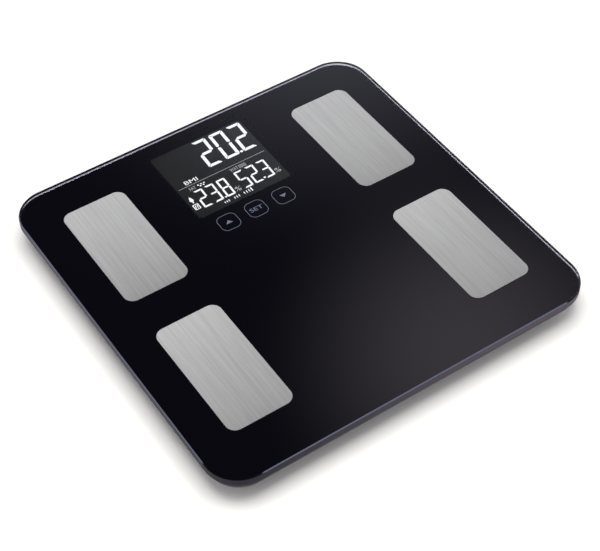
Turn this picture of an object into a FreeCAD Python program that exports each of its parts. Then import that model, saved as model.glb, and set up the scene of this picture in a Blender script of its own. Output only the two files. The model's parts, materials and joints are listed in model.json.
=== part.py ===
import FreeCAD, Part
import math
import os

# Digital body-composition bathroom scale.  Millimetres, +Z up.
# Origin: middle of the footprint, on the surface the rubber soles stand on.
# +Y is the display end, +X is the right-hand side of somebody standing on it.

V = FreeCAD.Vector

# ---- driving dimensions -----------------------------------------------------
platform_w = 300.0          # X size of the glass
platform_d = 300.0          # Y size of the glass
platform_corner_r = 26.0
glass_top = 25.0            # height of the standing surface
glass_thick = 6.0
glass_edge_r = 1.5          # ground and polished edge
glass_bottom = glass_top - glass_thick

# black print on the underside of the glass
ink_gap = 0.05
ink_thick = 0.2
ink_inset = 1.5
ink_top = glass_bottom - ink_gap
ink_bottom = ink_top - ink_thick
window_w = 78.5
window_d = 73.0
window_corner_r = 3.0
window_y = 98.2

# electrode plates
plate_w = 50.0
plate_l = 100.0
plate_corner_r = 7.5
plate_thick = 0.4
plate_x = 98.1
plate_front_y = -64.1
plate_back_y = 67.3
glue_thick = 0.1
glue_inset = 1.0
stud_r = 1.5
stud_bottom = 14.6
glass_hole_r = 3.0
bush_flange_r = 5.0
bush_flange_bottom = 18.0
terminal_thick = 0.5
terminal_ring_r = 4.0
nut_across_flats = 5.5
nut_height = 2.4
electrode_lead_z = 15.0
crimp_len = 6.0
crimp_r = 1.1

# base tray
tray_inset = 3.0            # the glass overhangs the tray all round
tray_corner_r = 23.0
tape_thick = 0.8
tray_top = ink_bottom - tape_thick
tray_side_low = 12.1        # lower end of the upright side
tray_bottom = 3.5
tray_under_inset = 12.0     # how far the underside is drawn in
tray_wall = 2.0
tray_floor_top = 5.7
rim_width = 6.0
rim_thick = 1.75
rib_thick = 1.6
rib_top = 12.3
rib_rows = (-82.0, -52.0, 30.0)
rib_back_y = 82.0
rib_long_x = 62.0
rib_short_x = 33.0
boss_r = 3.5

# load cells and feet, one set in each corner
foot_xy = 110.0
foot_r = 19.0
foot_hole_r = 19.6
foot_flange_r = 21.4
foot_flange_z0 = 6.4
foot_flange_z1 = 7.6
foot_bottom = 0.9
foot_cup_floor = 3.2
foot_cup_r = 16.5
foot_boss_r = 5.0
sole_r = 17.0
sole_top = 2.1
well_inner_r = 22.5
well_outer_r = 24.0
well_top = 8.9
cell_size = 34.0
cell_z0 = 9.0
cell_z1 = 11.5
cell_tongue_w = 12.0
cell_slot_w = 3.0
cell_slot_len = 24.0
cap_size = 46.0
cap_z0 = 9.4
cap_screw_off = 20.0
cap_recess_top = 14.0
cap_screw_seat = 14.0
boss_gap = 0.02             # air left between foot boss and cell tongue

# display and circuit board
board_w = 108.0
board_y0 = 36.0
board_y1 = 140.5
board_z0 = 10.2
board_z1 = 11.8
board_screw_x = 50.5
board_screw_y = (40.5, 133.0)
key_y = 48.1
key_pitch = 23.4
key_spring_r = 3.6
frame_w = 94.0
frame_d = 83.0
frame_top = 18.6
lcd_w = 86.0
lcd_d = 79.0
lcd_front_z0 = 17.55
lcd_front_z1 = 18.65
lcd_rear_z0 = 16.4
lcd_rear_z1 = 17.5
lcd_contact_ledge = 3.0
guide_z0 = 13.2
guide_z1 = 16.2

# battery bay, four AAA cells lying side by side
bay_x = 23.0                # half width inside
bay_y0 = -36.0
bay_y1 = 16.0
bay_wall = 1.4
bay_roof_z0 = 16.4
bay_roof_z1 = 17.4
cell_pitch = 11.2
aaa_r = 5.2
aaa_body = 43.7
aaa_nub_r = 1.9
aaa_nub_len = 0.8
aaa_z = 11.1
contact_thick = 0.4
contact_gap = 0.2
cell_spring_r0 = 3.8        # cone springs: wide end on the plate
cell_spring_r1 = 2.2
spring_wire_r = 0.3
spring_pitch = 1.5

# battery door
door_x = 27.5               # half width
door_y1 = 22.0
door_skin = 1.5
door_gap = 0.3
hinge_y = -41.5
hinge_r = 2.2
hinge_z = tray_bottom + hinge_r
pin_r = 1.0
pin_len = 2.2
pin_bore_r = 1.05
hinge_half = 24.0
foam_thick = 0.75

# unit switch
switch_x = -30.0
switch_y = 62.0
switch_travel = 2.0
knob_tip = 4.0

# leads and the sockets they plug into
lead_z = 12.9
lead_r = 0.55
lead_pitch = 1.4
header_face = 53.5          # distance of the side sockets from the middle
header_x = 51.0
cell_header_y = (64.0, 104.0)
electrode_header_y = (84.0, 88.0)
battery_header_x = 1.5
battery_header_y = 39.0
cell_lead_run_x = 74.0      # where the leads of the front cells run up the tray
cell_lead_bend = 8.0
electrode_lead_bend = 6.0
battery_lead_bend = 3.0

corners = {
    "front_left": (-1, -1),
    "front_right": (1, -1),
    "back_left": (-1, 1),
    "back_right": (1, 1),
}


# ---- helpers ------------------------------------------------------------------
def outline(lx, ly, r, z, cx=0.0, cy=0.0):
    """Closed wire of a rounded rectangle lying at height z."""
    hx, hy = lx / 2.0, ly / 2.0
    edges = []
    places = ((1, 1, 0), (-1, 1, 90), (-1, -1, 180), (1, -1, 270))
    arcs = []
    for sx, sy, start in places:
        centre = V(cx + sx * (hx - r), cy + sy * (hy - r), z)
        pts = []
        for turn in (0, 45, 90):
            a = math.radians(start + turn)
            pts.append(centre + V(r * math.cos(a), r * math.sin(a), 0))
        arcs.append(pts)
    for i, pts in enumerate(arcs):
        edges.append(Part.Arc(pts[0], pts[1], pts[2]).toShape())
        nxt = arcs[(i + 1) % 4]
        edges.append(Part.makeLine(pts[2], nxt[0]))
    return Part.Wire(edges)


def slab(lx, ly, r, z0, z1, cx=0.0, cy=0.0):
    """Rounded rectangular plate from z0 to z1."""
    return Part.Face(outline(lx, ly, r, z0, cx, cy)).extrude(V(0, 0, z1 - z0))


def box(x0, x1, y0, y1, z0, z1):
    return Part.makeBox(x1 - x0, y1 - y0, z1 - z0, V(x0, y0, z0))


def centred_box(cx, cy, lx, ly, z0, z1):
    return box(cx - lx / 2.0, cx + lx / 2.0, cy - ly / 2.0, cy + ly / 2.0, z0, z1)


def disc(r, z0, z1, cx=0.0, cy=0.0):
    return Part.makeCylinder(r, z1 - z0, V(cx, cy, z0))


def rod_x(r, x0, x1, y, z):
    return Part.makeCylinder(r, x1 - x0, V(x0, y, z), V(1, 0, 0))


def fuse_all(shapes):
    """One solid from shapes that touch or overlap."""
    whole = shapes[0].multiFuse(shapes[1:]) if len(shapes) > 1 else shapes[0]
    return whole.removeSplitter()


def cut_all(body, tools):
    return body.cut(Part.makeCompound(tools))


def edges_at(shape, z, slack=0.001):
    """Edges that lie wholly at height z."""
    found = []
    for edge in shape.Edges:
        b = edge.BoundBox
        if abs(b.ZMin - z) < slack and abs(b.ZMax - z) < slack:
            found.append(edge)
    return found


def save(name, shape):
    """Write one node.  A group of separate solids is written as a compound."""
    solids = shape.Solids
    out = solids[0] if len(solids) == 1 else Part.makeCompound(solids)
    out.exportStep("parts/" + name + ".step")
    print(name, len(solids), round(sum(s.Volume for s in solids), 2), out.isValid())


def tube(points, radius, bend):
    """Insulated wire along straight runs joined by tangent arcs, all in one plane."""
    pts = [V(*p) for p in points]
    edges = []
    start = pts[0]
    for i in range(1, len(pts) - 1):
        d_in = (pts[i] - pts[i - 1]).normalize()
        d_out = (pts[i + 1] - pts[i]).normalize()
        turn = d_in.getAngle(d_out)
        back = bend * math.tan(turn / 2.0)
        a = pts[i] - d_in * back
        b = pts[i] + d_out * back
        to_centre = (d_out - d_in).normalize()
        centre = pts[i] + to_centre * (bend / math.cos(turn / 2.0))
        mid = centre - to_centre * bend
        edges.append(Part.makeLine(start, a))
        edges.append(Part.Arc(a, mid, b).toShape())
        start = b
    edges.append(Part.makeLine(start, pts[-1]))
    path = Part.Wire(edges)
    first = (pts[1] - pts[0]).normalize()
    ring = Part.Wire([Part.makeCircle(radius, pts[0], first)])
    return path.makePipeShell([ring], True, False)


def coil(r0, r1, wire_r, pitch, height):
    """Round-wire spring standing on z = 0, made of short straight lengths all the way round."""
    turns = height / pitch
    steps = int(math.ceil(turns * 12))

    def at(i):
        t = i / steps
        a = 2 * math.pi * turns * t
        r = r0 + (r1 - r0) * t
        return V(r * math.cos(a), r * math.sin(a), height * t)

    path = Part.makePolygon([at(i) for i in range(steps + 1)])
    ring = Part.Wire([Part.makeCircle(wire_r, at(0), at(1) - at(0))])
    return path.makePipeShell([ring], True, False, 1)


def plate_places():
    """Centres of the four electrode plates."""
    spots = {}
    for name, (sx, sy) in corners.items():
        spots[name] = (sx * plate_x, plate_front_y if sy < 0 else plate_back_y)
    return spots


def foot_places():
    return {name: (sx * foot_xy, sy * foot_xy) for name, (sx, sy) in corners.items()}


def cap_screws():
    """Two screws across one diagonal of each load-cell cap."""
    spots = []
    for sx, sy in corners.values():
        cx, cy = sx * foot_xy, sy * foot_xy
        spots.append((cx + cap_screw_off * sx, cy - cap_screw_off * sy))
        spots.append((cx - cap_screw_off * sx, cy + cap_screw_off * sy))
    return spots


def board_screws():
    spots = []
    for y in board_screw_y:
        spots.append((-board_screw_x, y))
        spots.append((board_screw_x, y))
    return spots


# ---- platform -------------------------------------------------------------------
def make_glass():
    """Toughened glass with polished edges and a hole under each electrode."""
    body = slab(platform_w, platform_d, platform_corner_r, glass_bottom, glass_top)
    rims = edges_at(body, glass_top) + edges_at(body, glass_bottom)
    body = body.makeFillet(glass_edge_r, rims)
    holes = []
    for x, y in plate_places().values():
        holes.append(disc(glass_hole_r, glass_bottom - 1, glass_top + 1, x, y))
    return cut_all(body, holes)


def make_ink():
    """Black print with a clear window for the display."""
    inset = 2 * ink_inset
    r = platform_corner_r - ink_inset
    body = slab(platform_w - inset, platform_d - inset, r, ink_bottom, ink_top)
    cuts = [slab(window_w, window_d, window_corner_r, ink_bottom - 1, ink_top + 1, 0, window_y)]
    for x, y in plate_places().values():
        cuts.append(disc(bush_flange_r + 0.5, ink_bottom - 1, ink_top + 1, x, y))
    return cut_all(body, cuts)


def make_plate(cx, cy):
    """Stainless electrode with softened top edges."""
    z0 = glass_top + glue_thick
    z1 = z0 + plate_thick
    body = slab(plate_w, plate_l, plate_corner_r, z0, z1, cx, cy)
    return body.makeFillet(plate_thick * 0.45, edges_at(body, z1))


def make_plate_glue():
    pads = []
    for x, y in plate_places().values():
        lx = plate_w - 2 * glue_inset
        ly = plate_l - 2 * glue_inset
        pad = slab(lx, ly, plate_corner_r - glue_inset, glass_top, glass_top + glue_thick, x, y)
        pads.append(pad.cut(disc(glass_hole_r, glass_top - 1, glass_top + 1, x, y)))
    return Part.makeCompound(pads)


def make_studs():
    """Contact stud welded to the underside of each electrode."""
    top = glass_top + glue_thick
    return Part.makeCompound([disc(stud_r, stud_bottom, top, x, y) for x, y in plate_places().values()])


def make_bushes():
    """Insulating sleeve that lines the hole in the glass."""
    out = []
    for x, y in plate_places().values():
        sleeve = disc(glass_hole_r - 0.1, bush_flange_bottom, glass_top - 0.1, x, y)
        flange = disc(bush_flange_r, bush_flange_bottom, glass_bottom, x, y)
        bore = disc(stud_r + 0.05, bush_flange_bottom - 1, glass_top + 1, x, y)
        out.append(sleeve.fuse(flange).removeSplitter().cut(bore))
    return Part.makeCompound(out)


def make_terminals():
    """Ring terminal with its barrel turned down to the height of the lead."""
    out = []
    z1 = bush_flange_bottom
    z0 = z1 - terminal_thick
    for x, y in plate_places().values():
        toward = -1 if x > 0 else 1
        ring = disc(terminal_ring_r, z0, z1, x, y)
        tab_x = x + toward * (terminal_ring_r + 0.2)
        arm = centred_box(x + toward * terminal_ring_r / 2.0 + toward * 0.2, y, terminal_ring_r, 2.4, z0, z1)
        drop = centred_box(tab_x, y, terminal_thick, 2.4, electrode_lead_z - crimp_r, z1)
        x0 = min(tab_x, tab_x + toward * crimp_len)
        barrel = rod_x(crimp_r, x0, x0 + crimp_len, y, electrode_lead_z)
        x_in = tab_x + toward * (crimp_len - 3.0)
        bore = rod_x(lead_r, min(x_in, x_in + toward * 4), max(x_in, x_in + toward * 4), y, electrode_lead_z)
        body = fuse_all([ring, arm, drop, barrel])
        out.append(cut_all(body, [disc(stud_r + 0.1, z0 - 1, z1 + 1, x, y), bore]))
    return Part.makeCompound(out)


def make_stud_nuts():
    out = []
    top = bush_flange_bottom - terminal_thick
    corner = nut_across_flats / 2.0 / math.cos(math.radians(30))
    for x, y in plate_places().values():
        pts = []
        for i in range(7):
            a = math.radians(60 * i)
            pts.append(V(x + corner * math.cos(a), y + corner * math.sin(a), top - nut_height))
        hexagon = Part.Face(Part.makePolygon(pts)).extrude(V(0, 0, nut_height))
        out.append(hexagon.cut(disc(stud_r, stud_bottom - 1, top + 1, x, y)))
    return Part.makeCompound(out)


def make_tape():
    """Foam bonding tape: a frame on the tray rim and a pad on each load-cell cap."""
    half = platform_w / 2.0 - tray_inset - 1.5
    inner = half - (rim_width - 2.0)
    r_out = tray_corner_r - 1.5
    r_in = r_out - (rim_width - 2.0)
    ring = slab(2 * half, 2 * half, r_out, tray_top, ink_bottom)
    hole = slab(2 * inner, 2 * inner, r_in, tray_top - 1, ink_bottom + 1)
    pads = [ring.cut(hole)]
    for x, y in foot_places().values():
        pads.append(centred_box(x, y, 32, 32, tray_top, ink_bottom))
    return Part.makeCompound(pads)


# ---- base tray --------------------------------------------------------------------
def tray_shell():
    """Upright side, drawn-in underside and an open top with an inward rim."""
    w = platform_w - 2 * tray_inset
    d = platform_d - 2 * tray_inset
    r = tray_corner_r
    under = 2 * tray_under_inset
    low = outline(w - under, d - under, r - tray_under_inset, tray_bottom)
    waist = outline(w, d, r, tray_side_low)
    skirt = Part.makeLoft([low, waist], True, True)
    upper = slab(w, d, r, tray_side_low, tray_top)
    outer = skirt.fuse(upper).removeSplitter()
    outer = outer.makeFillet(2.0, edges_at(outer, tray_side_low))
    outer = outer.makeFillet(1.2, edges_at(outer, tray_bottom))
    t = 2 * tray_wall
    in_low = outline(w - under, d - under, r - tray_under_inset, tray_floor_top)
    in_waist = outline(w - t, d - t, r - tray_wall, tray_side_low)
    cavity = Part.makeLoft([in_low, in_waist], True, True)
    cavity = cavity.fuse(slab(w - t, d - t, r - tray_wall, tray_side_low, tray_top - rim_thick))
    rim = 2 * rim_width
    mouth = slab(w - rim, d - rim, r - rim_width, tray_top - rim_thick - 0.5, tray_top + 1)
    return outer, cavity.fuse(mouth).removeSplitter()


def tray_ribs():
    """Stiffening ribs on the floor; the leads lie across their tops."""
    z0, z1, t = tray_floor_top - 0.5, rib_top, rib_thick / 2.0
    reach = platform_w / 2.0 - tray_inset - 0.5
    board_side = board_w / 2.0 + 4.0
    ribs = []
    for y in rib_rows:
        ribs.append(box(-reach, reach, y - t, y + t, z0, z1))
    for side in (-1, 1):
        ends = sorted((side * board_side, side * reach))
        ribs.append(box(ends[0], ends[1], rib_back_y - t, rib_back_y + t, z0, z1))
        x = side * rib_long_x
        ribs.append(box(x - t, x + t, -reach, reach, z0, z1))
        x = side * rib_short_x
        ribs.append(box(x - t, x + t, -reach, rib_rows[-1], z0, z1))
    ribs.append(box(-t, t, -reach, hinge_y - 6.0, z0, z1))
    return ribs


def bay_walls():
    """Battery bay, the thickened ledge the door closes on, and the hinge cheeks."""
    w = bay_wall
    z0 = tray_floor_top - 0.5
    outer = box(-bay_x - w, bay_x + w, bay_y0 - w, bay_y1 + w, z0, bay_roof_z1)
    ledge = box(-door_x - 2.0, door_x + 2.0, hinge_y - 4.5, door_y1 + 2.0, z0, 8.7)
    return [outer, ledge]


def bay_cuts():
    """Everything hollowed out of the tray for the batteries and their door."""
    g = door_gap
    lid = box(-door_x - g, door_x + g, hinge_y, door_y1 + g, tray_bottom - 1, tray_bottom + door_skin + 0.15)
    inside = box(-bay_x, bay_x, bay_y0, bay_y1, tray_bottom - 1, bay_roof_z0)
    barrel = rod_x(hinge_r + g, -hinge_half - g, hinge_half + g, hinge_y, hinge_z)
    throat = box(-hinge_half - g, hinge_half + g, hinge_y - hinge_r - g, hinge_y + hinge_r + g,
                 tray_bottom - 1, hinge_z)
    reach = hinge_half + pin_len + 0.4
    bore = rod_x(pin_bore_r, -reach, reach, hinge_y, hinge_z)
    thumb = Part.makeSphere(14.0, V(0, door_y1 + 4.0, tray_bottom - 14.0 + 1.2))
    tails = []
    for x in (-1.5 * cell_pitch, 1.5 * cell_pitch):
        tails.append(box(x - 1.3, x + 1.3, bay_y1 - 0.1, bay_y1 + bay_wall + 0.2, 11.7, 12.6))
    return [lid, inside, barrel, throat, bore, thumb] + tails


def bay_dividers():
    """Short fins under the roof that keep the cells apart."""
    fins = []
    for i in (-1, 0, 1):
        x = i * cell_pitch
        fins.append(box(x - 0.2, x + 0.2, bay_y0 + 6, bay_y1 - 6, 14.2, bay_roof_z0 + 0.2))
    return fins


def make_tray():
    outer, cavity = tray_shell()
    ring_walls, bosses, holes = [], [], []
    for x, y in foot_places().values():
        ring_walls.append(disc(well_outer_r, tray_floor_top - 0.5, well_top, x, y))
        holes.append(disc(foot_hole_r, tray_bottom - 1, tray_floor_top + 0.01, x, y))
        holes.append(disc(well_inner_r, tray_floor_top, cap_z0, x, y))
    for x, y in cap_screws():
        bosses.append(disc(boss_r, tray_floor_top - 0.5, cap_z0, x, y))
        holes.append(disc(1.2, tray_floor_top + 0.3, cap_z0 + 1, x, y))
    for x, y in board_screws():
        bosses.append(disc(boss_r, tray_floor_top - 0.5, board_z0, x, y))
        holes.append(disc(1.0, tray_floor_top + 0.3, board_z0 + 1, x, y))
    holes.append(slab(16, 9, 3, tray_bottom - 1, tray_bottom + 0.9, switch_x, switch_y))
    slot_l = 2.4 + 2 * switch_travel + 1.0
    holes.append(slab(slot_l, 3.2, 1.2, tray_bottom, tray_floor_top + 1, switch_x, switch_y))
    inner = [s.common(outer) for s in tray_ribs() + bay_walls()]
    body = outer.cut(cavity)
    body = body.multiFuse(inner + [s.common(outer) for s in ring_walls + bosses])
    body = cut_all(body, holes + bay_cuts())
    body = body.multiFuse(bay_dividers())
    return body.removeSplitter()


# ---- load cells and feet ------------------------------------------------------------
def make_load_cell(cx, cy, side):
    """Steel plate with a U-shaped cut that frees a bending tongue.  side = +1: root at +X."""
    half = cell_size / 2.0
    body = slab(cell_size, cell_size, 2.5, cell_z0, cell_z1, cx, cy)
    tw, sw, sl = cell_tongue_w / 2.0, cell_slot_w, cell_slot_len
    x_tip = cx - side * (half - 5.0)
    x_root = x_tip + side * sl
    lo, hi = min(x_tip, x_root), max(x_tip, x_root)
    z0, z1 = cell_z0 - 1, cell_z1 + 1
    upper = box(lo, hi, cy + tw, cy + tw + sw, z0, z1)
    lower = box(lo, hi, cy - tw - sw, cy - tw, z0, z1)
    tip = centred_box(x_tip + side * sw / 2.0, cy, sw, 2 * (tw + sw), z0, z1)
    body = cut_all(body, [upper, lower, tip])
    holes = []
    for sy in (-1, 1):
        holes.append(disc(1.6, z0, z1, cx, cy + sy * (half - 3.2)))
    return cut_all(body, holes)


def gauge_place(cx, side):
    return cx + side * 7.5


def make_gauge_covers():
    """White silicone over the strain gauges at the root of each tongue."""
    out = []
    for x, y in foot_places().values():
        side = -1 if x > 0 else 1
        blob = slab(8.0, 9.0, 2.5, cell_z1, cell_z1 + 2.0, gauge_place(x, side), y)
        blob = blob.makeFillet(0.6, edges_at(blob, cell_z1 + 2.0))
        out.append(cut_all(blob, [lead_socket(x, y, side, k) for k in (-1, 0, 1)]))
    return Part.makeCompound(out)


def lead_socket(x, y, side, k):
    """The bore that one gauge lead runs into."""
    xs = gauge_place(x, side) + side * 2.5
    ends = sorted((xs, xs + side * 3.0))
    return rod_x(lead_r, ends[0], ends[1], y + k * lead_pitch, lead_z)



def make_cap(cx, cy, sx, sy):
    """Stiff cap that carries the glass load into the frame of the load cell."""
    body = slab(cap_size, cap_size, 4.0, cap_z0, tray_top, cx, cy)
    pocket = centred_box(cx, cy, cell_size + 0.4, cell_size + 0.4, cap_z0 - 1, cell_z1)
    recess = centred_box(cx, cy, 27.0, 19.0, cell_z1 - 0.5, cap_recess_top)
    side = -1 if cx > 0 else 1
    x_out = cx + side * (cap_size / 2.0 + 1)
    notch = box(min(cx, x_out), max(cx, x_out), cy - 3.5, cy + 3.5, cell_z1 - 0.01, cap_recess_top)
    cuts = [pocket, recess, notch]
    for px, py in ((cx + cap_screw_off * sx, cy - cap_screw_off * sy),
                   (cx - cap_screw_off * sx, cy + cap_screw_off * sy)):
        cuts.append(disc(1.6, cap_z0 - 1, tray_top + 1, px, py))
        cuts.append(disc(3.0, cap_screw_seat, tray_top + 1, px, py))
    return cut_all(body, cuts)


def make_foot_shell(cx, cy):
    """Moulded foot: a cup with a central boss that bears on the load-cell tongue."""
    puck = disc(foot_r, foot_bottom, foot_flange_z1, cx, cy)
    puck = puck.makeFillet(0.8, edges_at(puck, foot_bottom))
    flange = disc(foot_flange_r, foot_flange_z0, foot_flange_z1, cx, cy)
    body = puck.fuse(flange).removeSplitter()
    body = body.cut(disc(foot_cup_r, foot_cup_floor, foot_flange_z1 + 1, cx, cy))
    boss = disc(foot_boss_r, foot_cup_floor - 0.2, cell_z0 - boss_gap, cx, cy)
    webs = []
    for lx, ly in ((2 * foot_cup_r + 1, 1.6), (1.6, 2 * foot_cup_r + 1)):
        webs.append(centred_box(cx, cy, lx, ly, foot_cup_floor - 0.2, foot_flange_z1 - 1.0))
    body = fuse_all([body, boss] + webs)
    return body.cut(disc(sole_r + 0.1, foot_bottom - 1, sole_top, cx, cy))


def make_sole(cx, cy):
    """Rubber anti-slip pad with two ring grooves."""
    body = disc(sole_r, 0, sole_top, cx, cy)
    body = body.makeFillet(0.5, edges_at(body, 0))
    grooves = []
    for r in (6.0, 11.5):
        groove = disc(r + 0.9, -1, 0.6, cx, cy).cut(disc(r - 0.9, -2, 1.6, cx, cy))
        grooves.append(groove)
    return cut_all(body, grooves)


def make_screws(spots, z_head, head_r, head_h, shank_r, length):
    """Pan-head screws with a cross recess, heads at z_head."""
    out = []
    for x, y in spots:
        head = disc(head_r, z_head, z_head + head_h, x, y)
        head = head.makeFillet(head_h * 0.4, edges_at(head, z_head + head_h))
        shank = disc(shank_r, z_head - length, z_head, x, y)
        body = head.fuse(shank).removeSplitter()
        deep = z_head + head_h * 0.45
        cross = [centred_box(x, y, head_r * 1.2, 0.6, deep, z_head + head_h + 1),
                 centred_box(x, y, 0.6, head_r * 1.2, deep, z_head + head_h + 1)]
        out.append(cut_all(body, cross))
    return Part.makeCompound(out)


# ---- display and electronics -----------------------------------------------------------
def make_board():
    cy = (board_y0 + board_y1) / 2.0
    body = slab(board_w, board_y1 - board_y0, 2.0, board_z0, board_z1, 0, cy)
    return cut_all(body, [disc(1.5, board_z0 - 1, board_z1 + 1, x, y) for x, y in board_screws()])


def make_lcd_frame():
    """Moulded frame that holds the display cell above the light guide."""
    body = slab(frame_w, frame_d, 2.0, board_z1, frame_top, 0, window_y)
    upper = centred_box(0, window_y, lcd_w + 0.4, lcd_d + 0.4, lcd_rear_z0, frame_top + 1)
    lower = centred_box(0, window_y, lcd_w - 4.0, lcd_d - 4.0, board_z1 - 1, lcd_rear_z0 + 1)
    slot_y = zebra_y()
    slot = centred_box(0, slot_y, 78.0, 2.6, board_z1 - 1, lcd_rear_z0 + 1)
    return cut_all(body, [upper, lower, slot])


def zebra_y():
    return window_y + lcd_d / 2.0 - lcd_contact_ledge / 2.0


def make_lcd_front():
    return slab(lcd_w, lcd_d, 0.5, lcd_front_z0, lcd_front_z1, 0, window_y)


def make_lcd_rear():
    cy = window_y - lcd_contact_ledge / 2.0
    return slab(lcd_w, lcd_d - lcd_contact_ledge, 0.5, lcd_rear_z0, lcd_rear_z1, 0, cy)


def make_light_guide():
    """Acrylic light guide, bevelled along the edge that faces the lamps."""
    w = lcd_w - 4.6
    d = lcd_d - 10.0
    body = slab(w, d, 1.0, guide_z0, guide_z1, 0, window_y)
    return body.makeChamfer(0.4, edges_at(body, guide_z0))


def make_reflector():
    return slab(lcd_w - 4.6, lcd_d - 10.0, 1.0, guide_z0 - 0.35, guide_z0 - 0.1, 0, window_y)


def make_lamps():
    """Three white lamps on the board, against the near edge of the light guide."""
    y = window_y - (lcd_d - 10.0) / 2.0 - 1.2
    return Part.makeCompound([centred_box(x, y, 3.5, 1.6, board_z1, 15.6) for x in (-26, 0, 26)])


def make_zebra():
    """Conductive rubber strip from the board up to the display's contact ledge."""
    return centred_box(0, zebra_y(), 76.0, 1.9, board_z1, lcd_front_z0)


def key_places():
    return [(-key_pitch, key_y), (0.0, key_y), (key_pitch, key_y)]


def make_key_springs():
    """Touch springs between the board and the underside of the printed keys."""
    out = []
    for x, y in key_places():
        height = ink_bottom - board_z1 - 1.0
        body = coil(key_spring_r, key_spring_r, spring_wire_r, spring_pitch, height)
        body.translate(V(x, y, board_z1 + 0.5))
        out.append(body)
    return Part.makeCompound(out)


def make_key_discs():
    """Contact discs: one on the board and one under the glass at each touch spring."""
    out = []
    for x, y in key_places():
        out.append(disc(4.6, board_z1, board_z1 + 0.15, x, y))
        out.append(disc(5.0, ink_bottom - 0.15, ink_bottom, x, y))
    return Part.makeCompound(out)


def make_blob():
    """Epoxy cover over the bonded processor chip."""
    body = disc(6.0, board_z1, board_z1 + 1.8, -38.0, 44.0)
    return body.makeFillet(1.2, edges_at(body, board_z1 + 1.8))


def make_chips():
    spots = ((38.0, 44.0, 5.0, 8.0, 1.6), (12.0, 41.5, 4.0, 5.0, 1.4), (-12.0, 41.0, 7.0, 3.2, 2.2))
    return Part.makeCompound([centred_box(x, y, lx, ly, board_z1, board_z1 + h) for x, y, lx, ly, h in spots])


def make_capacitors():
    """Small electrolytic capacitors beside the converter chip."""
    out = []
    for x, y in ((29.5, 41.0), (46.0, 48.5)):
        can = disc(2.0, board_z1, board_z1 + 4.6, x, y)
        out.append(can.makeFillet(0.3, edges_at(can, board_z1 + 4.6)))
    return Part.makeCompound(out)


def header_places():
    """Lead sockets: centre x, centre y, size along x, size along y, top."""
    spots = []
    for side in (-1, 1):
        for y in cell_header_y:
            spots.append((side * header_x, y, 5.0, 8.0, 15.0))
        y = sum(electrode_header_y) / 2.0
        spots.append((side * header_x, y, 5.0, 9.0, 16.6))
    spots.append((0.0, battery_header_y, 7.0, 5.0, 15.0))
    return spots


def make_headers():
    """Plastic lead sockets; the leads push into their sides."""
    bodies = []
    for x, y, lx, ly, top in header_places():
        bodies.append(centred_box(x, y, lx, ly, board_z1, top))
    tools = []
    for side in (-1, 1):
        ends = sorted((side * (header_face - 2.0), side * (header_face + 2.0)))
        for yc in cell_header_y:
            for k in (-1, 0, 1):
                tools.append(rod_x(lead_r, ends[0], ends[1], yc + k * lead_pitch, lead_z))
        for yc in electrode_header_y:
            tools.append(rod_x(lead_r, ends[0], ends[1], yc, electrode_lead_z))
    for x in (-battery_header_x, battery_header_x):
        start = V(x, board_y0 - 1, lead_z)
        tools.append(Part.makeCylinder(lead_r, 3.5, start, V(0, 1, 0)))
    return Part.makeCompound([b.cut(Part.makeCompound(tools)) for b in bodies])


# ---- leads --------------------------------------------------------------------------------
def cell_lead(name, k):
    """One of the three leads of one load cell, k = -1, 0 or 1 across the ribbon."""
    sx, sy = corners[name]
    side = -sx
    off = k * lead_pitch
    y0 = sy * foot_xy
    x0 = sx * foot_xy + side * 10.0
    x_end = sx * (header_face - 1.9)
    if sy < 0:
        x_run = sx * (cell_lead_run_x + off)
        y_in = cell_header_y[0] + off
        pts = [(x0, y0 + off), (x_run, y0 + off), (x_run, y_in), (x_end, y_in)]
    else:
        y_in = cell_header_y[1] + off
        pts = [(x0, y0 + off), (sx * 78.0, y0 + off), (sx * 68.0, y_in), (x_end, y_in)]
    return tube([(x, y, lead_z) for x, y in pts], lead_r, cell_lead_bend)


def make_cell_leads(k):
    return Part.makeCompound([cell_lead(name, k) for name in corners])


def make_electrode_leads():
    out = []
    for name, (px, py) in plate_places().items():
        sx, sy = corners[name]
        side = -sx
        x0 = px + side * (terminal_ring_r + 0.2 + crimp_len - 3.0)
        x_end = sx * (header_face - 1.9)
        y_end = electrode_header_y[0] if sy < 0 else electrode_header_y[1]
        x_run = sx * (66.0 if sy < 0 else 79.0)
        pts = [(x0, py), (x_run, py), (x_run, y_end), (x_end, y_end)]
        out.append(tube([(x, y, electrode_lead_z) for x, y in pts], lead_r, electrode_lead_bend))
    return Part.makeCompound(out)


def make_battery_lead(side):
    x = side * 1.5 * cell_pitch
    y0 = bay_y1 + bay_wall + 1.0
    x_end = side * battery_header_x
    pts = [(x, y0), (x, y0 + 6.5), (x_end, y0 + 11.0), (x_end, board_y0 + 2.4)]
    return tube([(px, py, lead_z) for px, py in pts], lead_r, battery_lead_bend)


# ---- batteries -------------------------------------------------------------------------------
def cell_rows():
    """x position of each cell and the end (+1 = +Y) its positive pole points to."""
    return [(-1.5 * cell_pitch, 1), (-0.5 * cell_pitch, -1), (0.5 * cell_pitch, 1), (1.5 * cell_pitch, -1)]


def contact_face(end):
    """y of the face of the contact plate that looks into the bay, at one end."""
    if end > 0:
        return bay_y1 - contact_gap - contact_thick
    return bay_y0 + contact_gap + contact_thick


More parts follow.
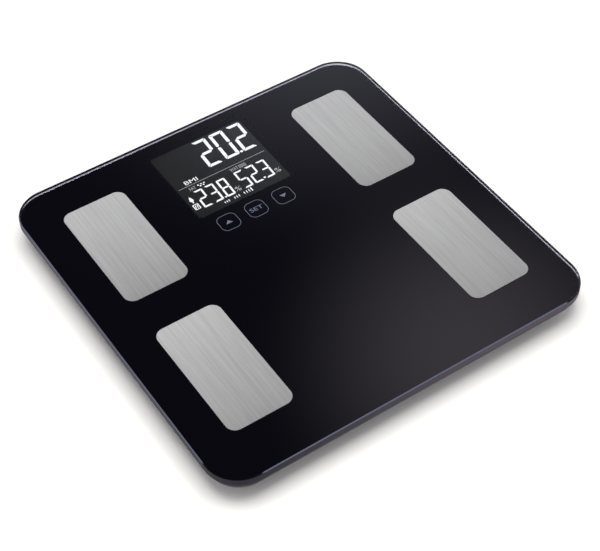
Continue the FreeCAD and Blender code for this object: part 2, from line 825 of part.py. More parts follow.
def make_cells():
    """AAA cells; each positive nub touches its contact plate."""
    out = []
    for x, end in cell_rows():
        tip = contact_face(end)
        base = tip - end * (aaa_nub_len + aaa_body)
        can = Part.makeCylinder(aaa_r, aaa_body, V(x, base, aaa_z), V(0, end, 0))
        rims = [e for e in can.Edges if e.Curve.TypeId == "Part::GeomCircle"]
        can = can.makeFillet(0.4, rims)
        nub_at = V(x, tip - end * (aaa_nub_len + 0.2), aaa_z)
        nub = Part.makeCylinder(aaa_nub_r, aaa_nub_len + 0.2, nub_at, V(0, end, 0))
        out.append(can.fuse(nub).removeSplitter())
    return Part.makeCompound(out)


def make_contact_plates():
    """Nickel-plated strips: two bridges at the hinge end, one bridge and two poles at the other."""
    z0, z1 = 7.6, 15.0
    y_low = bay_y0 + contact_gap
    y_high = contact_face(1)
    t = contact_thick
    out = []
    for x in (-cell_pitch, cell_pitch):
        out.append(box(x - 9.8, x + 9.8, y_low, y_low + t, z0, z1))
    out.append(box(-9.8, 9.8, y_high, y_high + t, z0, z1))
    for side in (-1, 1):
        x = side * 1.5 * cell_pitch
        pole = box(x - 4.2, x + 4.2, y_high, y_high + t, z0, z1)
        tail = box(x - 1.0, x + 1.0, y_high + 0.1, bay_y1 + bay_wall + 2.4, 12.0, 12.3)
        out.append(pole.fuse(tail).removeSplitter())
    return Part.makeCompound(out)


def make_contact_springs():
    """Cone springs that press each cell towards its positive contact."""
    out = []
    for x, end in cell_rows():
        face = contact_face(-end)
        base = contact_face(end) - end * (aaa_nub_len + aaa_body)
        free = abs(base - face)
        body = coil(cell_spring_r0, cell_spring_r1, spring_wire_r, spring_pitch, free - 0.7)
        body.rotate(V(0, 0, 0), V(1, 0, 0), -90 if end > 0 else 90)
        body.translate(V(x, face + end * 0.35, aaa_z))
        out.append(body)
    return Part.makeCompound(out)


# ---- battery door and unit switch ---------------------------------------------------------------
def make_door():
    """Flush door: skin, hinge barrel with end pins, stiffening ribs and a latch tongue."""
    z0, z1 = tray_bottom, tray_bottom + door_skin
    skin = box(-door_x, door_x, hinge_y + hinge_r + door_gap, door_y1, z0, z1)
    neck = box(-hinge_half, hinge_half, hinge_y, hinge_y + hinge_r + door_gap + 0.2, z0, z1)
    barrel = rod_x(hinge_r, -hinge_half, hinge_half, hinge_y, hinge_z)
    reach = hinge_half + pin_len
    pins = rod_x(pin_r, -reach, reach, hinge_y, hinge_z)
    body = fuse_all([skin, neck, barrel, pins])
    cuts = []
    for side in (-1, 1):
        x = side * 8.0
        cuts.append(box(x - 0.5, x + 0.5, door_y1 - 9.0, door_y1 + 1, z0 - 1, z1 + 1))
    cuts.append(box(-6.5, 6.5, door_y1 - 6.5, door_y1 - 1.0, z0 - 1, z0 + 0.5))
    for i in range(5):
        y = -26.0 + 8.0 * i
        cuts.append(box(-18.0, 18.0, y - 0.5, y + 0.5, z0 - 1, z0 + 0.35))
    body = cut_all(body, cuts)
    grips = []
    for i in range(3):
        y = door_y1 - 5.4 + 1.7 * i
        grips.append(box(-6.0, 6.0, y - 0.35, y + 0.35, z0, z0 + 0.6))
    return fuse_all([body] + grips)


def make_door_foam():
    """Sponge strips on the door that steady the cells."""
    z0 = tray_bottom + door_skin
    return Part.makeCompound([box(-21.0, 21.0, y - 4.0, y + 4.0, z0, z0 + foam_thick) for y in (-25.0, 5.0)])


def make_switch_body():
    """Three-position slide switch hanging under the board."""
    body = centred_box(switch_x, switch_y, 11.0, 5.0, 6.4, board_z0)
    cavity = centred_box(switch_x, switch_y, 9.4, 3.6, 7.0, 9.4)
    slot = centred_box(switch_x, switch_y, 2.0 + 2 * switch_travel + 0.6, 2.4, 6.0, 7.2)
    return cut_all(body, [cavity, slot])


def make_switch_knob():
    stem = centred_box(switch_x, switch_y, 2.0, 1.9, knob_tip, 7.4)
    slider = centred_box(switch_x, switch_y, 4.4, 3.0, 7.2, 8.6)
    grip = centred_box(switch_x, switch_y, 2.4, 2.4, knob_tip, 5.6)
    return fuse_all([stem, slider, grip])


# ---- build ------------------------------------------------------------------------------------
def main():
    os.makedirs("parts", exist_ok=True)
    save("glass_platform", make_glass())
    save("back_print", make_ink())
    for name, (x, y) in plate_places().items():
        save("electrode_plate_" + name, make_plate(x, y))
    save("electrode_adhesive", make_plate_glue())
    save("electrode_studs", make_studs())
    save("electrode_bushes", make_bushes())
    save("electrode_ring_terminals", make_terminals())
    save("electrode_stud_nuts", make_stud_nuts())
    save("bonding_tape", make_tape())
    save("base_tray", make_tray())
    for name, (x, y) in foot_places().items():
        sx, sy = corners[name]
        save("load_cell_" + name, make_load_cell(x, y, -sx))
        save("load_cell_cap_" + name, make_cap(x, y, sx, sy))
        save("foot_shell_" + name, make_foot_shell(x, y))
        save("foot_sole_" + name, make_sole(x, y))
    save("strain_gauge_covers", make_gauge_covers())
    save("load_cell_cap_screws", make_screws(cap_screws(), cap_screw_seat, 2.8, 1.8, 1.2, 7.5))
    save("circuit_board", make_board())
    save("circuit_board_screws", make_screws(board_screws(), board_z1, 2.3, 1.5, 1.0, 5.0))
    save("display_frame", make_lcd_frame())
    save("display_front_glass", make_lcd_front())
    save("display_rear_glass", make_lcd_rear())
    save("backlight_guide", make_light_guide())
    save("backlight_reflector", make_reflector())
    save("backlight_lamps", make_lamps())
    save("display_connector_strip", make_zebra())
    save("touch_key_springs", make_key_springs())
    save("touch_key_discs", make_key_discs())
    save("processor_blob", make_blob())
    save("board_chips", make_chips())
    save("board_capacitors", make_capacitors())
    save("lead_sockets", make_headers())
    save("load_cell_leads_red", make_cell_leads(-1))
    save("load_cell_leads_white", make_cell_leads(0))
    save("load_cell_leads_black", make_cell_leads(1))
    save("electrode_leads", make_electrode_leads())
    save("battery_lead_red", make_battery_lead(-1))
    save("battery_lead_black", make_battery_lead(1))
    save("battery_cells", make_cells())
    save("battery_contact_plates", make_contact_plates())
    save("battery_contact_springs", make_contact_springs())
    save("battery_door", make_door())
    save("battery_door_foam", make_door_foam())
    save("unit_switch_body", make_switch_body())
    save("unit_switch_knob", make_switch_knob())


main()
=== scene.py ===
import json
import math
import bpy
from mathutils import Matrix, Vector


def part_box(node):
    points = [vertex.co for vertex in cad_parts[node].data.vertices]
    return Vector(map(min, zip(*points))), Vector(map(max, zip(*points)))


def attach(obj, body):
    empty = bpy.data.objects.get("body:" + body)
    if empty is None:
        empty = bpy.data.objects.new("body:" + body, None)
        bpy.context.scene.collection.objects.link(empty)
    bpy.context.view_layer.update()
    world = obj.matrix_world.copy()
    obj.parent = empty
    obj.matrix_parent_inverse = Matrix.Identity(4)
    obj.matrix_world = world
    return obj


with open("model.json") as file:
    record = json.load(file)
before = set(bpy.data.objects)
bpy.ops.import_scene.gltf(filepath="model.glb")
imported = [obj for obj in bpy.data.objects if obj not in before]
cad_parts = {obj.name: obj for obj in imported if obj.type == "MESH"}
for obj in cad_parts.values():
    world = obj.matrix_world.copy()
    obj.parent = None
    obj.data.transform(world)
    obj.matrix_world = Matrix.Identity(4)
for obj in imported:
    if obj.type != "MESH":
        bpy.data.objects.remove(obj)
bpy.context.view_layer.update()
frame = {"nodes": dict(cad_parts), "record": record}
nodes = frame["nodes"]
scene = bpy.context.scene
MM = 0.001

# ---------------------------------------------------------------- camera
AZ, EL, ROLL = math.radians(-33.026), math.radians(48.308), math.radians(-1.118)
glass_lo, glass_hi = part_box("glass_platform")
glass_top = glass_hi.z
aim = Vector((-12.173 * MM, -26.627 * MM, glass_top))
back = Vector((math.sin(AZ) * math.cos(EL), -math.cos(AZ) * math.cos(EL), math.sin(EL)))
right = Vector((0, 0, 1)).cross(back).normalized()
up = back.cross(right)
cam_x = right * math.cos(ROLL) + up * math.sin(ROLL)
cam_y = up * math.cos(ROLL) - right * math.sin(ROLL)
place = aim + back * 1053.434 * MM
cam_data = bpy.data.cameras.new("camera")
cam_data.sensor_width = 36.0
cam_data.lens = 1521.476 * 36.0 / 600.0
cam_data.clip_start = 0.01
camera = bpy.data.objects.new("camera", cam_data)
scene.collection.objects.link(camera)
camera.matrix_world = Matrix((
    (cam_x.x, cam_y.x, back.x, place.x),
    (cam_x.y, cam_y.y, back.y, place.y),
    (cam_x.z, cam_y.z, back.z, place.z),
    (0, 0, 0, 1)))
scene.camera = camera
scene.view_settings.view_transform = "Standard"


# ---------------------------------------------------------------- material helpers
class Mat:
    """A Principled material with a few node-building shortcuts."""

    def __init__(self, name, color=(0.5, 0.5, 0.5), rough=0.5, metal=0.0, **sockets):
        self.mat = bpy.data.materials.new(name)
        self.mat.use_nodes = True
        self.nt = self.mat.node_tree
        self.p = self.nt.nodes["Principled BSDF"]
        self.p.inputs["Base Color"].default_value = (*color, 1)
        self.p.inputs["Roughness"].default_value = rough
        self.p.inputs["Metallic"].default_value = metal
        for key, value in sockets.items():
            self.p.inputs[key.replace("_", " ")].default_value = value
        self.coord = None

    def node(self, kind, **props):
        n = self.nt.nodes.new(kind)
        for k, v in props.items():
            setattr(n, k, v)
        return n

    def link(self, a, b):
        self.nt.links.new(a, b)

    def position(self, scale=(1, 1, 1)):
        """Object position in metres, stretched by scale."""
        if self.coord is None:
            self.coord = self.node("ShaderNodeTexCoord")
        m = self.node("ShaderNodeMapping")
        m.inputs["Scale"].default_value = scale
        self.link(self.coord.outputs["Object"], m.inputs["Vector"])
        return m.outputs["Vector"]

    def noise(self, size, detail=3.0, stretch=(1, 1, 1)):
        """Noise whose cells are about size metres across."""
        n = self.node("ShaderNodeTexNoise")
        n.inputs["Scale"].default_value = 1.0
        n.inputs["Detail"].default_value = detail
        n.inputs["Roughness"].default_value = 0.55
        self.link(self.position([s / size for s in stretch]), n.inputs["Vector"])
        return n.outputs["Fac"]

    def ramp(self, value, low, high, lo_in=0.0, hi_in=1.0):
        """Value mapped from lo_in..hi_in to low..high."""
        r = self.node("ShaderNodeMapRange")
        r.inputs["From Min"].default_value = lo_in
        r.inputs["From Max"].default_value = hi_in
        r.inputs["To Min"].default_value = low
        r.inputs["To Max"].default_value = high
        self.link(value, r.inputs["Value"])
        return r.outputs["Result"]

    def mix(self, fac, a, b):
        m = self.node("ShaderNodeMix", data_type="RGBA")
        if isinstance(fac, float):
            m.inputs["Factor"].default_value = fac
        else:
            self.link(fac, m.inputs["Factor"])
        for socket, v in ((m.inputs["A"], a), (m.inputs["B"], b)):
            if isinstance(v, tuple):
                socket.default_value = (*v, 1)
            else:
                self.link(v, socket)
        return m.outputs["Result"]

    def math(self, op, a, b=0.0):
        m = self.node("ShaderNodeMath", operation=op)
        for i, v in enumerate((a, b)):
            if isinstance(v, (int, float)):
                m.inputs[i].default_value = v
            else:
                self.link(v, m.inputs[i])
        return m.outputs[0]

    def color(self, socket):
        self.link(socket, self.p.inputs["Base Color"])
        return self

    def rough(self, socket):
        self.link(socket, self.p.inputs["Roughness"])
        return self

    def bump(self, height, depth):
        """Bump whose height input 0..1 stands for depth metres."""
        b = self.node("ShaderNodeBump")
        b.inputs["Strength"].default_value = 1.0
        b.inputs["Distance"].default_value = depth
        self.link(height, b.inputs["Height"])
        self.link(b.outputs["Normal"], self.p.inputs["Normal"])
        return self


def moulded(name, color, rough=0.45, grain=0.0009, depth=0.00003, lighter=1.5, coat=0.0):
    """Moulded plastic with a fine grain, slight cloudiness and worn patches."""
    m = Mat(name, color, rough, Coat_Weight=coat)
    cloud = m.noise(0.03, 4)
    fine = m.noise(grain, 2)
    pale = tuple(min(1, c * lighter + 0.002) for c in color)
    m.color(m.mix(m.ramp(cloud, 0.0, 1.0, 0.35, 0.75), color, pale))
    m.rough(m.ramp(cloud, rough - 0.06, rough + 0.08, 0.3, 0.7))
    m.bump(fine, depth)
    return m.mat


def metal(name, color, rough=0.3):
    """Plated or drawn metal with faint scuffs."""
    m = Mat(name, color, rough, 1.0)
    scuff = m.noise(0.002, 4)
    dark = tuple(c * 0.75 for c in color)
    m.color(m.mix(m.ramp(scuff, 0.0, 1.0, 0.3, 0.7), color, dark))
    m.rough(m.ramp(scuff, rough - 0.07, rough + 0.1, 0.3, 0.7))
    m.bump(scuff, 0.00001)
    return m.mat


def insulated(name, color):
    m = Mat(name, color, 0.42)
    cloud = m.noise(0.004, 3)
    m.color(m.mix(m.ramp(cloud, 0.0, 1.0, 0.3, 0.7), color, tuple(c * 0.8 for c in color)))
    m.rough(m.ramp(cloud, 0.36, 0.5, 0.3, 0.7))
    return m.mat


def glowing(name, color, strength, base=(0.5, 0.5, 0.5)):
    """Print with an even glow and a trace of cloudiness: backlit for the display figures; on the key
    print the glow is painted light.
    """
    m = Mat(name, base, 0.5, Emission_Strength=strength)
    m.p.inputs["Emission Color"].default_value = (*color, 1)
    cloud = m.noise(0.01, 2)
    m.color(m.mix(m.ramp(cloud, 0.0, 1.0, 0.3, 0.7), base, tuple(c * 0.9 for c in base)))
    return m.mat


# ---------------------------------------------------------------- materials
def clear_glass():
    """Toughened glass, faintly tinted, with a trace of unevenness in the tint."""
    m = Mat("platform_glass", (0.93, 0.93, 0.97), 0.0, IOR=1.48, Transmission_Weight=1.0)
    m.p.inputs["Specular Tint"].default_value = (0.97, 0.86, 1.0, 1)
    tint = m.noise(0.08, 3)
    m.color(m.mix(m.ramp(tint, 0.0, 1.0, 0.3, 0.7), (0.92, 0.92, 0.965), (0.95, 0.95, 0.975)))
    return m.mat


def painted_border_highlight():
    """A narrow pale border under the glass along the back and right edges, with a glow of its own: a
    painted highlight for the light line the edge catches.
    """
    m = Mat("painted_border_highlight", (0.75, 0.75, 0.88), 0.6, Emission_Strength=0.16)
    m.p.inputs["Emission Color"].default_value = (0.9, 0.9, 1.0, 1)
    cloud = m.noise(0.02, 3)
    m.color(m.mix(m.ramp(cloud, 0.0, 1.0, 0.3, 0.7), (0.72, 0.72, 0.85), (0.78, 0.78, 0.9)))
    return m.mat


def back_paint():
    """The black print as it shows through the glass: no gloss of its own."""
    m = Mat("back_paint", (0.004, 0.004, 0.006), 0.5, 1.0)
    cloud = m.noise(0.06, 3)
    m.color(m.mix(m.ramp(cloud, 0.0, 1.0, 0.3, 0.7), (0.0012, 0.0012, 0.002), (0.002, 0.002, 0.003)))
    return m.mat


def brushed_plate():
    """Stainless plate with a brush finish in Y: long fine scratches, plus painted shade that darkens each
    plate towards its near end and the plates towards -Y, and a painted highlight towards +X.
    """
    m = Mat("electrode_steel", (0.4, 0.4, 0.4), 0.6, 1.0)
    hair = m.noise(0.0006, 2, (1, 0.012, 1))
    band = m.noise(0.0022, 3, (1, 0.03, 1))
    cloud = m.noise(0.05, 3)
    both = m.math("ADD", m.math("MULTIPLY", hair, 0.72), m.math("MULTIPLY", band, 0.28))
    sep = m.node("ShaderNodeSeparateXYZ")
    m.link(m.position(), sep.inputs[0])
    # painted shade: each plate runs from a darker near end to a paler far end
    along = m.math("DIVIDE", m.math("MODULO", m.math("ADD", sep.outputs["Y"], 0.1141), 0.1314), 0.1)
    along = m.math("POWER", along, 0.75)
    dark = m.mix(along, (0.262, 0.261, 0.255), (0.44, 0.438, 0.429))
    pale = m.mix(along, (0.33, 0.329, 0.322), (0.54, 0.538, 0.527))
    streaks_and_painted_light = m.mix(m.ramp(both, 0.0, 1.0, 0.35, 0.65), dark, pale)
    # painted highlight: the plates grow lighter towards +X
    streaks_and_painted_light = m.mix(m.ramp(sep.outputs["X"], 0.015, 0.085, -0.1, 0.1), streaks_and_painted_light, (1.0, 1.0, 1.0))
    # painted shade: the plates grow darker towards -Y
    m.color(m.mix(m.ramp(sep.outputs["Y"], 0.13, 0.0, -0.065, 0.065), streaks_and_painted_light, (0.0, 0.0, 0.0)))
    m.rough(m.ramp(cloud, 0.58, 0.66, 0.3, 0.7))
    m.bump(hair, 0.000012)
    return m.mat


def display_panel():
    """Dark display glass with a faint even glow behind it."""
    m = Mat("display_panel", (0.006, 0.007, 0.005), 0.35, Emission_Strength=0.0065)
    m.p.inputs["Emission Color"].default_value = (1.0, 0.97, 0.55, 1)
    m.p.inputs["Specular IOR Level"].default_value = 0.05
    cloud = m.noise(0.03, 2)
    m.color(m.mix(m.ramp(cloud, 0.0, 1.0, 0.3, 0.7), (0.0055, 0.0065, 0.0045), (0.0065, 0.0075, 0.0055)))
    return m.mat


def circuit_green():
    """Solder mask with tracks showing as slightly raised lighter lines."""
    m = Mat("board_green", (0.012, 0.1, 0.04), 0.3, Coat_Weight=0.2)
    brick = m.node("ShaderNodeTexBrick")
    m.link(m.position((160, 160, 160)), brick.inputs["Vector"])
    brick.inputs["Scale"].default_value = 1.0
    brick.inputs["Mortar Size"].default_value = 0.06
    brick.inputs["Color1"].default_value = (0.01, 0.09, 0.035, 1)
    brick.inputs["Color2"].default_value = (0.014, 0.12, 0.05, 1)
    brick.inputs["Mortar"].default_value = (0.03, 0.22, 0.09, 1)
    m.color(brick.outputs["Color"])
    m.bump(brick.outputs["Fac"], 0.00004)
    return m.mat


def rubber(name, color=(0.02, 0.02, 0.021)):
    m = Mat(name, color, 0.75)
    speck = m.noise(0.0006, 3)
    cloud = m.noise(0.012, 3)
    m.color(m.mix(m.ramp(cloud, 0.0, 1.0, 0.35, 0.7), color, tuple(c * 1.9 + 0.004 for c in color)))
    m.rough(m.ramp(cloud, 0.68, 0.86, 0.3, 0.7))
    m.bump(speck, 0.00006)
    return m.mat


def jacket():
    """Battery jacket: dark sleeve with one pale band."""
    m = Mat("battery_jacket", (0.02, 0.02, 0.024), 0.3, Coat_Weight=0.4)
    sep = m.node("ShaderNodeSeparateXYZ")
    m.link(m.position(), sep.inputs[0])
    band = m.math("GREATER_THAN", sep.outputs["Y"], -0.0045)
    cloud = m.noise(0.006, 3)
    dark = m.mix(m.ramp(cloud, 0.0, 1.0, 0.3, 0.7), (0.018, 0.018, 0.022), (0.03, 0.03, 0.034))
    m.color(m.mix(band, dark, (0.45, 0.3, 0.12)))
    return m.mat


finishes = {
    "platform_glass": clear_glass(),
    "black_ink": moulded("black_ink", (0.006, 0.006, 0.008), 0.5, 0.0006, 0.00001),
    "electrode_steel": brushed_plate(),
    "load_cell_steel": metal("load_cell_steel", (0.5, 0.5, 0.49), 0.32),
    "inner_plastic": moulded("inner_plastic", (0.018, 0.018, 0.02), 0.5),
    "foot_plastic": moulded("foot_plastic", (0.02, 0.02, 0.022), 0.48),
    "foot_rubber": rubber("foot_rubber"),
    "adhesive_film": moulded("adhesive_film", (0.01, 0.01, 0.01), 0.3),
    "nickel_plating": metal("nickel_plating", (0.66, 0.63, 0.57), 0.25),
    "zinc_plating": metal("zinc_plating", (0.6, 0.61, 0.64), 0.3),
    "bush_nylon": moulded("bush_nylon", (0.62, 0.6, 0.54), 0.4, lighter=1.1),
    "black_foam": rubber("black_foam", (0.008, 0.008, 0.009)),
    "tray_plastic": moulded("tray_plastic", (0.034, 0.029, 0.042), 0.42, 0.0007, 0.00002, 1.12),
    "white_silicone": moulded("white_silicone", (0.75, 0.75, 0.72), 0.35, lighter=1.08),
    "board_green": circuit_green(),
    "display_panel": display_panel(),
    "clear_acrylic": moulded("clear_acrylic", (0.75, 0.78, 0.8), 0.08, lighter=1.05),
    "white_film": moulded("white_film", (0.85, 0.85, 0.85), 0.3, lighter=1.05),
    "lamp_body": moulded("lamp_body", (0.9, 0.85, 0.5), 0.2, lighter=1.05),
    "connector_rubber": rubber("connector_rubber", (0.3, 0.3, 0.31)),
    "chip_black": moulded("chip_black", (0.015, 0.015, 0.016), 0.4),
    "capacitor_can": metal("capacitor_can", (0.7, 0.71, 0.73), 0.28),
    "socket_nylon": moulded("socket_nylon", (0.7, 0.66, 0.52), 0.4, lighter=1.1),
    "lead_red": insulated("lead_red", (0.5, 0.015, 0.01)),
    "lead_white": insulated("lead_white", (0.75, 0.75, 0.72)),
    "lead_black": insulated("lead_black", (0.012, 0.012, 0.012)),
    "lead_blue": insulated("lead_blue", (0.015, 0.06, 0.3)),
    "battery_jacket": jacket(),
    "door_plastic": moulded("door_plastic", (0.034, 0.029, 0.042), 0.42, 0.0007, 0.00002, 1.12),
    "switch_steel": metal("switch_steel", (0.55, 0.55, 0.56), 0.3),
    "switch_knob_plastic": moulded("switch_knob_plastic", (0.35, 0.35, 0.36), 0.45, lighter=1.2),
}
for plastic in ("tray_plastic", "door_plastic"):
    finishes[plastic].node_tree.nodes["Principled BSDF"].inputs["Specular IOR Level"].default_value = 0.3
for part in frame["record"]["subparts"]:
    obj = nodes[part["node"]]
    obj.data.materials.clear()
    obj.data.materials.append(finishes[part["material_slot"]])


# ---------------------------------------------------------------- mesh helpers
def add(name, verts, faces, material, body="scale_body"):
    mesh = bpy.data.meshes.new(name)
    mesh.from_pydata([tuple(v) for v in verts], [], faces)
    mesh.update()
    obj = bpy.data.objects.new(name, mesh)
    scene.collection.objects.link(obj)
    mesh.materials.append(material)
    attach(obj, body)
    return obj


def rounded(hx, hy, r, cx, cy, steps=12):
    """Points round a rectangle with rounded corners."""
    pts = []
    for sx, sy, start in ((1, 1, 0), (-1, 1, 90), (-1, -1, 180), (1, -1, 270)):
        for i in range(steps + 1):
            a = math.radians(start + 90 * i / steps)
            pts.append((cx + sx * (hx - r) + r * math.cos(a), cy + sy * (hy - r) + r * math.sin(a)))
    return pts


def ring(outer, inner, z):
    """Flat ring between two loops with the same number of points."""
    n = len(outer)
    verts = [(x, y, z) for x, y in outer] + [(x, y, z) for x, y in inner]
    faces = [(i, (i + 1) % n, n + (i + 1) % n, n + i) for i in range(n)]
    return verts, faces


class Drawing:
    """Flat polygons gathered into one mesh at height z, in millimetres."""

    def __init__(self):
        self.verts = []
        self.faces = []

    def poly(self, pts):
        start = len(self.verts)
        self.verts += list(pts)
        self.faces.append(tuple(range(start, start + len(pts))))

    def band(self, outer, inner):
        n = len(outer)
        start = len(self.verts)
        self.verts += list(outer) + list(inner)
        for i in range(n):
            j = (i + 1) % n
            self.faces.append((start + i, start + j, start + n + j, start + n + i))

    def text(self, words, cx, cy, height, width=None, bold=0.0, lean=0.0):
        """Words centred at cx, cy, with capitals height tall."""
        curve = bpy.data.curves.new("words", "FONT")
        curve.body = words
        curve.shear = lean
        curve.offset = bold
        holder = bpy.data.objects.new("words", curve)
        scene.collection.objects.link(holder)
        bpy.context.view_layer.update()
        mesh = bpy.data.meshes.new_from_object(holder)
        xs = [v.co.x for v in mesh.vertices]
        ys = [v.co.y for v in mesh.vertices]
        k = height / (max(ys) - min(ys))
        kx = k if width is None else width / (max(xs) - min(xs))
        mx, my = (max(xs) + min(xs)) / 2, (max(ys) + min(ys)) / 2
        start = len(self.verts)
        self.verts += [(cx + (v.co.x - mx) * kx, cy + (v.co.y - my) * k) for v in mesh.vertices]
        for f in mesh.polygons:
            self.faces.append(tuple(start + i for i in f.vertices))
        bpy.data.objects.remove(holder)
        bpy.data.curves.remove(curve)
        bpy.data.meshes.remove(mesh)

    def make(self, name, z, material):
        verts = [(x * MM, y * MM, z) for x, y in self.verts]
        return add(name, verts, self.faces, material)


# ---------------------------------------------------------------- print inside the glass
sheet_z = glass_lo.z + 0.03 * MM
half = glass_hi.x / MM
edge_in, border_w, arris_w = 0.12, 0.75, 0.6
window_y, window_hx, window_hy = 98.2, 39.25, 36.5
ink_half = half - edge_in - border_w / 2
rim = rounded(half - edge_in, half - edge_in, 26 - edge_in, 0, 0, 12)
outer = rounded(ink_half, ink_half, 26 - edge_in - border_w / 2, -border_w / 2, -border_w / 2, 12)
inner = rounded(window_hx, window_hy, 3.0, 0, window_y, 12)
verts, faces = ring([(x * MM, y * MM) for x, y in outer], [(x * MM, y * MM) for x, y in inner], sheet_z)
add("print_face", verts, faces, back_paint())
# painted highlight: the pale glowing border round the print
verts, faces = ring([(x * MM, y * MM) for x, y in rim], [(x * MM, y * MM) for x, y in outer], sheet_z)
add("painted_highlight_border", verts, faces, painted_border_highlight())

# painted highlight: the ground arris round the near and left edges drawn as one fine light line, black
# round the near left corner where the highlight stops
arris = Mat("ground_arris_painted_highlight", (0.12, 0.145, 0.2), 0.5)
arris.p.inputs["Specular IOR Level"].default_value = 0.1
reach = arris.node("ShaderNodeVectorMath", operation="DISTANCE")
arris.link(arris.position(), reach.inputs[0])
reach.inputs[1].default_value = (-half * MM, -half * MM, glass_top)
# painted highlight tone, lightly mottled
painted_highlight_tone = arris.mix(arris.noise(0.01, 2), (0.09, 0.1, 0.14), (0.108, 0.12, 0.165))
past_corner = arris.ramp(reach.outputs["Value"], 0.0, 1.0, 0.0265, 0.029)
arris.color(arris.mix(past_corner, (0.003, 0.003, 0.005), painted_highlight_tone))
low = rounded(half + 0.05, half + 0.05, 26.05, 0, 0, 24)[25:76]
high = rounded(half - arris_w, half - arris_w, 26 - arris_w, 0, 0, 24)[25:76]
n = len(low)
verts = [(x * MM, y * MM, glass_top - arris_w * MM) for x, y in low]
verts += [(x * MM, y * MM, glass_top + 0.02 * MM) for x, y in high]
add("arris_painted_highlight_line", verts, [(i, i + 1, n + i + 1, n + i) for i in range(n - 1)], arris.mat)

# the glossy face over the print, left open over the window and along the bright rim
face = Mat("glass_face", (0.0003, 0.0003, 0.0005), 0.0, IOR=1.48)
face.p.inputs["Specular Tint"].default_value = (0.97, 0.86, 1.0, 1)
face.color(face.mix(face.noise(0.06, 3), (0.0002, 0.0002, 0.0003), (0.0004, 0.0004, 0.0007)))
outer = rounded(half - 2.8, half - 2.8, 24.0, -2.2, -2.2, 12)
inner = rounded(42.5, 40.0, 4.0, 0, 98.25, 12)
verts, faces = ring([(x * MM, y * MM) for x, y in outer], [(x * MM, y * MM) for x, y in inner],
                    glass_top + 0.02 * MM)
add("glass_face", verts, faces, face.mat)

# the ground edge of the glass: grey with a violet cast, with painted shade deepest at the near left
# corner
edge = Mat("ground_edge", (0.09, 0.08, 0.1), 0.55)
edge.p.inputs["Specular IOR Level"].default_value = 0.15
gap = edge.node("ShaderNodeVectorMath", operation="DISTANCE")
edge.link(edge.position(), gap.inputs[0])
gap.inputs[1].default_value = (-half * MM, -half * MM, glass_top)
# painted shade: the edge darkens towards the near left corner
painted_corner_shade = edge.ramp(gap.outputs["Value"], 0.0, 1.0, 0.025, 0.22)
cloud = edge.mix(edge.noise(0.02, 3), (0.066, 0.055, 0.077), (0.074, 0.062, 0.087))
edge.color(edge.mix(painted_corner_shade, (0.011, 0.0105, 0.021), cloud))
wall = rounded(half + 0.05, half + 0.05, 26.05, 0, 0, 24)
n = len(wall)
verts = [(x * MM, y * MM, glass_lo.z + 0.1 * MM) for x, y in wall]
verts += [(x * MM, y * MM, glass_top - arris_w * MM) for x, y in wall]
add("ground_edge", verts, [(i, (i + 1) % n, n + (i + 1) % n, n + i) for i in range(n)], edge.mat)

key_pitch = 23.4
keys = Drawing()
key_x, key_y = -2.03, 44.97
for x in (-key_pitch, 0, key_pitch):
    keys.band(rounded(7.75, 7.75, 4.9, x + key_x, key_y), rounded(7.38, 7.38, 4.5, x + key_x, key_y))
for x, tip in ((-key_pitch + key_x, 1), (key_pitch + key_x, -1)):
    keys.poly([(x - 2.8 * tip, key_y - 1.4 * tip), (x + 2.8 * tip, key_y - 1.4 * tip),
               (x, key_y + 1.7 * tip)])
keys.text("SET", key_x, key_y, 3.7, 10.6, 0.0)
# painted light: the key print is ink, given a glow of its own
key_print = glowing("key_print", (0.1, 0.12, 0.18), 0.75, (0.05, 0.06, 0.09))
keys.make("touch_key_print", glass_top + 0.05 * MM, key_print)

# ---------------------------------------------------------------- what the display shows
STROKES = {
    "0": "abcdef", "1": "bc", "2": "abged", "3": "abgcd", "4": "fgbc",
    "5": "afgcd", "6": "afgedc", "7": "abc", "8": "abcdefg", "9": "abfgcd",
}


def digit(drawing, ch, x, y, w, h, t, lean):
    """Seven-segment figure: x, y its lower left corner, t the stroke width, mitred joints."""
    def at(px, py):
        return (x + px + lean * (py - h / 2), y + py)
    g = t * 0.09
    c = t * 0.36
    m = h / 2

    def flip(pts):
        return [(w - px, py) for px, py in pts]

    def turn(pts):
        return [(px, h - py) for px, py in pts]

    top = [(c + g / 2, h), (w - c - g / 2, h), (w - c / 2 - g, h - c / 2),
           (w - t - g, h - t), (t + g, h - t), (c / 2 + g, h - c / 2)]
    side = [(0, h - c - g / 2), (c / 2, h - c / 2 - g), (t, h - t - g),
            (t, m + t / 2 + g), (t / 2, m + g), (0, m + t * 0.25 + g)]
    shapes = {
        "a": top, "d": turn(top), "f": side, "b": flip(side), "e": turn(side), "c": flip(turn(side)),
        "g": [(t / 2 + g, m), (t + g, m + t / 2), (w - t - g, m + t / 2),
              (w - t / 2 - g, m), (w - t - g, m - t / 2), (t + g, m - t / 2)],
    }
    for s in STROKES[ch]:
        drawing.poly([at(px, py) for px, py in shapes[s]])


def dot(drawing, x, y, r):
    drawing.poly([(x + r * math.cos(a * math.pi / 8), y + r * math.sin(a * math.pi / 8))
                  for a in range(16)])


def line(drawing, x0, x1, y, t):
    drawing.poly([(x0, y - t / 2), (x1, y - t / 2), (x1, y + t / 2), (x0, y + t / 2)])


